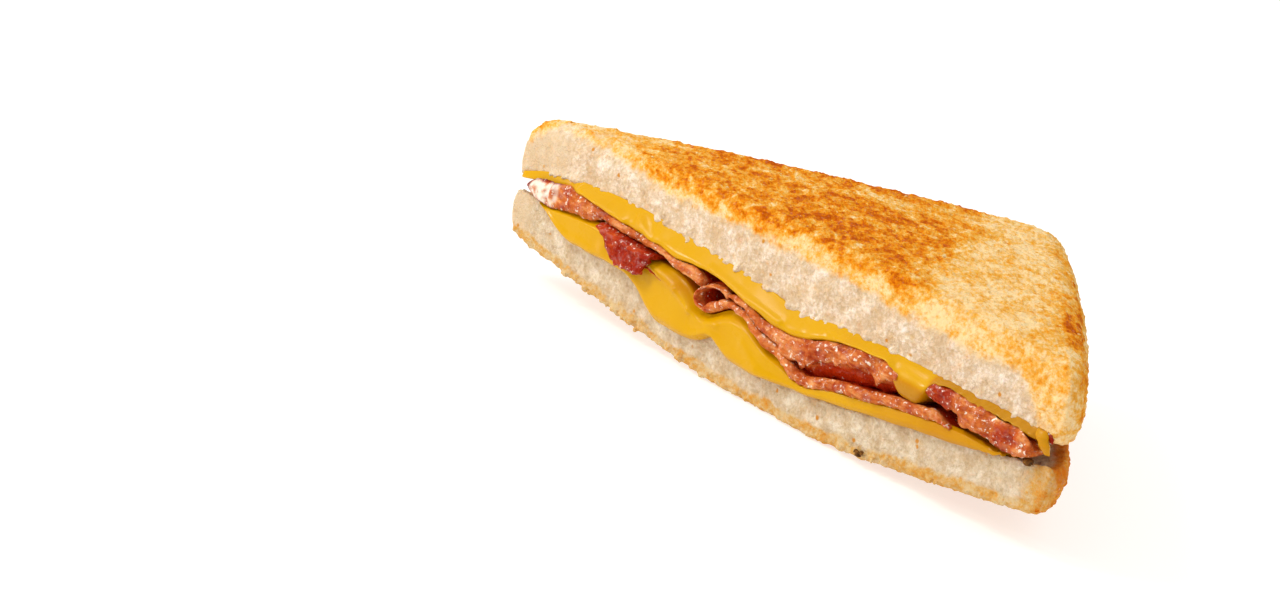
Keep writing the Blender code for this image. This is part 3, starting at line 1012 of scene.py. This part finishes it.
def dark_crumbs():
    """Black-brown crumbs on the lower rim and below the end rasher."""
    crumbs = np.array(
        (
            (33.6, -0.7, 2.3, 0.7, 0.5, 0.6),
            (34.3, -0.6, 2.8, 0.5, 0.4, 0.5),
            (32.8, -0.6, 2.6, 0.4, 0.4, 0.4),
            (71.5, -0.5, 15.9, 1.3, 0.5, 0.7),
            (72.3, -0.4, 16.3, 0.9, 0.5, 0.6),
        )
    )
    return lumps(crumbs[:, :3], crumbs[:, 3:], SEEDS["dark_bits"])


def tapered(stops, seed):
    """Points and faces of a bent, rough strand through (x, depth, z, radius) stops."""
    stops = np.array(stops)
    t = np.linspace(0, len(stops) - 1, 8 * len(stops))
    centre = np.stack([np.interp(t, range(len(stops)), column) for column in stops.T], 1)
    turn = np.linspace(0, 2 * math.pi, STRAND_SIDES, endpoint=False)
    rings = centre[:, None, :3].repeat(STRAND_SIDES, 1)
    rings[..., 0] += centre[:, 3:] * np.cos(turn)
    rings[..., 1] += 0.6 * centre[:, 3:] * np.sin(turn)
    points = rings.reshape(-1, 3)
    points = points + 0.22 * np.stack([soft_noise(points, 1.1, seed + k) for k in range(3)], 1)
    grid = np.arange(len(points)).reshape(len(t), STRAND_SIDES)
    turned = np.roll(grid, -1, 1)
    side = np.stack((grid[:-1], grid[1:], turned[1:], turned[:-1]), -1)
    return points, [*side.reshape(-1, 4).tolist(), grid[0].tolist(), grid[-1][::-1].tolist()]


# ---- Settings


def length_setting(name, description, millimetres):
    return FloatProperty(
        name=name,
        description=description,
        default=millimetres * MM,
        min=0,
        precision=4,
        unit="LENGTH",
        subtype="DISTANCE",
    )


def power_setting(name, description, watts):
    return FloatProperty(name=name, description=description, default=watts, min=0, unit="POWER")


def colour_setting(name, description, code):
    return FloatVectorProperty(
        name=name,
        description=description,
        default=linear(code),
        size=3,
        min=0,
        max=1,
        subtype="COLOR",
    )


class SandwichBreadSettings(bpy.types.PropertyGroup):
    skin_cell: length_setting("Skin Cell", "Side of the small faces of each slice", 0.47)
    crumb_size: length_setting("Crumb Size", "Radius of the crumbs on the cut edges", 0.6)
    relief: FloatProperty(
        name="Relief", description="Depth of pores and grains", default=1.2, min=0, max=2
    )
    crumb_colour: colour_setting("Crumb", "White crumb of the cut face", "DEC4A4")
    # Bright grains painted as glints on the crumb
    crumb_glint_colour: colour_setting("Bright Crumb", "Raised grains of the crumb", "FAEBDA")
    # Darker pores: painted shade
    crumb_pore_shade_colour: colour_setting("Pores", "Small pores in the crumb", "CEAE88")
    speck_colour: colour_setting("Specks", "Toasted specks on the crumb", "CE8A34")
    # The lower slice's crumb, grains and pores are darker copies of the upper slice's: painted shade
    shaded_lower_crumb_colour: colour_setting("Lower Crumb", "Pressed crumb of the lower slice", "D6C0A0")
    shaded_lower_glint_colour: colour_setting("Lower Grains", "Raised grains of the lower slice", "EEDFC8")
    shaded_lower_pore_colour: colour_setting("Lower Pores", "Pores in the lower slice", "C4A884")
    rim_colour: colour_setting("Pale Rim", "Palest toast of the lower slice", "DCBE8C")
    golden_rim_colour: colour_setting("Golden Rim", "Golden toast of the lower slice", "D6A458")
    brown_rim_colour: colour_setting("Brown Rim", "Browned toast of the lower slice", "D8943A")
    end_colour: colour_setting("Cut Crust", "Dense crust where it is cut", "DABE98")
    pale_toast_colour: colour_setting("Pale Toast", "Least browned skin", "F9D59A")
    golden_colour: colour_setting("Golden Toast", "Evenly toasted skin", "EDAE48")
    orange_colour: colour_setting("Orange Toast", "Browned skin", "E68C0C")
    brown_colour: colour_setting("Brown Toast", "Well browned blotches", "D26A02")
    dark_colour: colour_setting("Dark Toast", "Darkest blotches", "BA5200")
    crust_colour: colour_setting("Crust", "Baked sides of the loaf", "D8862A")


class SandwichCheeseSettings(bpy.types.PropertyGroup):
    colour: colour_setting("Cheese", "Melted cheese", "D49E00")
    deep_colour: colour_setting("Deep Cheese", "Cheese in thicker, shaded folds", "C28000")
    # Darkest end of the cheese ramp: painted shade on the right end of the top cheese, the drip and
    # the hollows
    darkest_shade_colour: colour_setting("Dry Cheese", "Cheese baked dry at the edge", "BA8010")


class SandwichBaconSettings(bpy.types.PropertyGroup):
    pink_colour: colour_setting("Pink", "Lightest meat", "EEAA6A")
    meat_colour: colour_setting("Meat", "Grilled meat", "C96A2C")
    red_colour: colour_setting("Red", "Moist red meat", "A43A12")
    deep_colour: colour_setting("Deep Red", "Darkest meat", "761403")
    # The moist reds also darken the meat behind the cut: painted shade
    moist_and_shaded_colour: colour_setting("Moist Meat", "Meat inside the sandwich", "CC3C0A")
    inner_and_shaded_colour: colour_setting("Inner Meat", "Darker meat inside", "A22005")
    # Also the colour of the pale spots painted as glints
    fat_and_glint_colour: colour_setting("Fat", "Rendered fat", "F6E6D2")


class SandwichStageSettings(bpy.types.PropertyGroup):
    floor_colour: colour_setting("Floor", "Plain floor", "B8B4B0")
    floor_glow: FloatProperty(
        name="Floor Glow", description="Light from under the white floor", default=0.66, min=0
    )
    key_power: power_setting("Key Light", "Soft light from the upper left", 2.35)
    glint_power: power_setting("Glint Light", "Small light for wet glints", 1.1)
    fill_power: power_setting("Fill Light", "Large soft light from the right", 0.7)
    sky: FloatProperty(name="Room Light", description="Soft light from overhead", default=0.82, min=0)


# ---- Operators


class SANDWICH_OT_bread(bpy.types.Operator):
    """Add both toasted slices"""

    bl_idname = "sandwich.bread"
    bl_label = "Add Bread"

    def execute(self, context):
        look = context.scene.sandwich_bread
        slices = (
            (
                "lower_slice",
                "bread_bottom",
                # Crumb colours of the lower slice, darker copies of the upper ones: painted shade
                "white_bread_griddled_shaded_crumb",
                (look.shaded_lower_pore_colour, look.shaded_lower_crumb_colour, look.shaded_lower_glint_colour),
                (look.rim_colour, look.golden_rim_colour, look.brown_rim_colour),
            ),
            (
                "upper_slice",
                "bread_top",
                "white_bread_griddled",
                (look.crumb_pore_shade_colour, look.crumb_colour, look.crumb_glint_colour),
                (look.pale_toast_colour, look.golden_colour, look.orange_colour),
            ),
        )
        for name, node, material_name, crumb_colours, toast_colours in slices:
            finish = new_material(
                material_name, white_bread_griddled, look, crumb_colours, toast_colours
            )
            add_piece(build_slice(name, node, look), finish, "bread", node)
        return {"FINISHED"}


class SANDWICH_OT_cheese(bpy.types.Operator):
    """Add both sheets of melted cheese"""

    bl_idname = "sandwich.cheese"
    bl_label = "Add Cheese"

    def execute(self, context):
        finish = new_material(
            "processed_cheese_melted", processed_cheese_melted, context.scene.sandwich_cheese
        )
        for name, node, cells, shape in (
            ("lower_cheese", "cheese_bottom", (420, 12, 26), lower_cheese),
            ("upper_cheese", "cheese_top", (460, 12, 24), top_cheese),
        ):
            add_piece(build_cheese(name, cells, shape), finish, "cheese", node)
        return {"FINISHED"}


class SANDWICH_OT_bacon(bpy.types.Operator):
    """Add the rashers of bacon"""

    bl_idname = "sandwich.bacon"
    bl_label = "Add Bacon"

    def execute(self, context):
        finish = new_material(
            "back_bacon_grilled", back_bacon_grilled, context.scene.sandwich_bacon
        )
        left = rasher(-70.5, -14.5, on_flap, left_rasher_top, 1, left_hang)
        upper = rasher(-6, 40, upper_rasher_under, under_top_cheese, 5, torn_hang, sag=room_between)
        end = rasher(46, 73, end_rasher_under, under_top_cheese, 9, end_hang, 0.55)
        shapes = (
            ("bacon_left", (260, 60, 10), left, left_marks),
            ("bacon_upper", (300, 60, 12), upper, plain_marks),
            ("bacon_end", (130, 50, 20), end, end_marks),
            ("bacon_long", (300, 60, 8), long_rasher, plain_marks),
            ("bacon_flap", (80, 80, 4), flap, flap_marks),
        )
        for number, (name, cells, shape, marks) in enumerate(shapes):
            mesh = build_rasher(name + "_grilled", cells, shape, SEEDS["rasher"] + number, marks)
            add_piece(mesh, finish, "bacon", name)
        return {"FINISHED"}


class SANDWICH_OT_bits(bpy.types.Operator):
    """Add the crumbs and the small bits of cheese and bacon"""

    bl_idname = "sandwich.bits"
    bl_label = "Add Crumbs and Bits"

    def execute(self, context):
        bread = bpy.data.objects["upper_slice"].data
        crumbs = crumbs_on_toast(bread, SEEDS["crumbs"])
        drop = tapered(
            [
                (73.6, -1.2, 22.6, 1.0),
                (74.2, -1.6, 21.6, 1.4),
                (75.0, -1.5, 20.2, 1.2),
                (75.8, -1.0, 18.9, 0.5),
            ],
            SEEDS["drop"],
        )
        tail = tapered(
            [(-29.2, -3.3, 16.3, 0.55), (-27, -3.5, 15.8, 0.4), (-24.6, -3.3, 15.2, 0.2)],
            SEEDS["tail"],
        )
        shred = tapered(
            [(75.1, -0.6, 22.4, 0.5), (75.7, -0.9, 21.6, 0.55), (75.9, -0.7, 20.9, 0.3)],
            SEEDS["shred"],
        )
        after_tail = [[i + len(tail[0]) for i in face] for face in shred[1]]
        shreds = (np.concatenate((tail[0], shred[0])), tail[1] + after_tail)
        cheese = bpy.data.materials["processed_cheese_melted"]
        bacon = bpy.data.materials["back_bacon_grilled"]
        scorched = new_material("bread_dark_crumb", bread_dark_crumb)
        for name, (points, faces), material, slot, levels in (
            ("toast_crumbs", crumbs, bread.materials[0], "bread", {"toasted": 1}),
            ("dark_crumbs", dark_crumbs(), scorched, "bread", {}),
            ("cheese_drop", drop, cheese, "cheese", {"deep": 0.5}),
            ("bacon_shreds", shreds, bacon, "bacon", {"seared": 0.8, "moist": 0.4}),
        ):
            marks = {mark: np.full(len(points), level) for mark, level in levels.items()}
            add_piece(new_mesh(name, points, faces, marks), material, slot)
        return {"FINISHED"}


def add_area_light(name, place, size, power, colour):
    """A round light that points at the middle of the sandwich."""
    data = bpy.data.lights.new(name, "AREA")
    data.shape = "DISK"
    data.size = size
    data.energy = power
    data.color = colour
    light = bpy.data.objects.new(name, data)
    light.location = place
    light.rotation_euler = (Vector(MIDDLE) - Vector(place)).to_track_quat("-Z", "Y").to_euler()
    bpy.context.scene.collection.objects.link(light)


class SANDWICH_OT_stage(bpy.types.Operator):
    """Add the floor, the lights and the camera"""

    bl_idname = "sandwich.stage"
    bl_label = "Add Stage"

    def execute(self, context):
        look = context.scene.sandwich_stage
        scene = context.scene
        mesh = bpy.data.meshes.new("floor")
        signs = ((-1, -1), (1, -1), (1, 1), (-1, 1))
        corners = [(x * FLOOR_HALF, y * FLOOR_HALF, -FLOOR_DROP) for x, y in signs]
        mesh.from_pydata(corners, [], [(0, 1, 2, 3)])
        mesh.materials.append(new_material("opal_acrylic_light_table", opal_acrylic_light_table, look))
        floor = bpy.data.objects.new("floor", mesh)
        scene.collection.objects.link(floor)

        world = bpy.data.worlds.new("white_room")
        world.use_nodes = True
        tree = world.node_tree
        direction = add_node(tree, "TexCoord").outputs["Generated"]
        height = add_node(tree, "SeparateXYZ", {0: direction}).outputs[2]
        glow = add_node(
            tree, "MapRange", {"Value": height, 3: LOW_SKY * look.sky, 4: HIGH_SKY * look.sky}
        ).outputs[0]
        background = tree.nodes["Background"]
        tree.links.new(glow, background.inputs["Strength"])
        background.inputs["Color"].default_value = (1, 1, 1, 1)
        scene.world = world

        for name, place, size, power, colour in (
            ("key", (-0.32, -0.45, 0.56), 0.28, look.key_power, (1, 0.98, 0.95)),
            ("glint", (-0.55, -0.5, 0.24), 0.1, look.glint_power, (1, 0.98, 0.95)),
            ("fill", (0.7, -0.4, 0.5), 0.6, look.fill_power, (1, 0.97, 0.93)),
        ):
            add_area_light(name, place, size, power, colour)

        away = Vector(
            (
                math.sin(AZIMUTH) * math.cos(ELEVATION),
                -math.cos(AZIMUTH) * math.cos(ELEVATION),
                math.sin(ELEVATION),
            )
        )
        level = Vector((0, 0, 1)).cross(away).normalized()
        upright = away.cross(level)
        right = math.cos(ROLL) * level + math.sin(ROLL) * upright
        up = math.cos(ROLL) * upright - math.sin(ROLL) * level
        data = bpy.data.cameras.new("camera")
        data.sensor_width = SENSOR_WIDTH
        data.lens = LENS
        data.clip_start = 0.01
        camera = bpy.data.objects.new("camera", data)
        turn = Matrix((right, up, away)).transposed().to_4x4()
        camera.matrix_world = Matrix.Translation(CAMERA_PLACE) @ turn
        scene.collection.objects.link(camera)
        scene.camera = camera
        scene.view_settings.view_transform = "Standard"
        return {"FINISHED"}


class SANDWICH_PT_panel(bpy.types.Panel):
    """Lists the pieces of the sandwich and their settings"""

    bl_idname = "SANDWICH_PT_panel"
    bl_label = "Toasted Sandwich"
    bl_space_type = "VIEW_3D"
    bl_region_type = "UI"
    bl_category = "Sandwich"

    def draw(self, context):
        for operator, settings in PARTS:
            box = self.layout.box()
            box.operator(operator.bl_idname)
            if settings:
                group = getattr(context.scene, settings)
                for name in group.bl_rna.properties.keys():
                    if name not in ("rna_type", "name"):
                        box.prop(group, name)


PARTS = (
    (SANDWICH_OT_bread, "sandwich_bread"),
    (SANDWICH_OT_cheese, "sandwich_cheese"),
    (SANDWICH_OT_bacon, "sandwich_bacon"),
    (SANDWICH_OT_bits, None),
    (SANDWICH_OT_stage, "sandwich_stage"),
)
GROUPS = {
    "sandwich_bread": SandwichBreadSettings,
    "sandwich_cheese": SandwichCheeseSettings,
    "sandwich_bacon": SandwichBaconSettings,
    "sandwich_stage": SandwichStageSettings,
}


def register():
    for name, group in GROUPS.items():
        bpy.utils.register_class(group)
        setattr(bpy.types.Scene, name, PointerProperty(type=group))
    for operator, _ in PARTS:
        bpy.utils.register_class(operator)
    bpy.utils.register_class(SANDWICH_PT_panel)


def unregister():
    bpy.utils.unregister_class(SANDWICH_PT_panel)
    for operator, _ in reversed(PARTS):
        bpy.utils.unregister_class(operator)
    for name, group in reversed(GROUPS.items()):
        delattr(bpy.types.Scene, name)
        bpy.utils.unregister_class(group)


def main():
    register()
    bpy.ops.sandwich.bread()
    bpy.ops.sandwich.cheese()
    bpy.ops.sandwich.bacon()
    bpy.ops.sandwich.bits()
    bpy.ops.sandwich.stage()


if __name__ == "__main__":
    main()
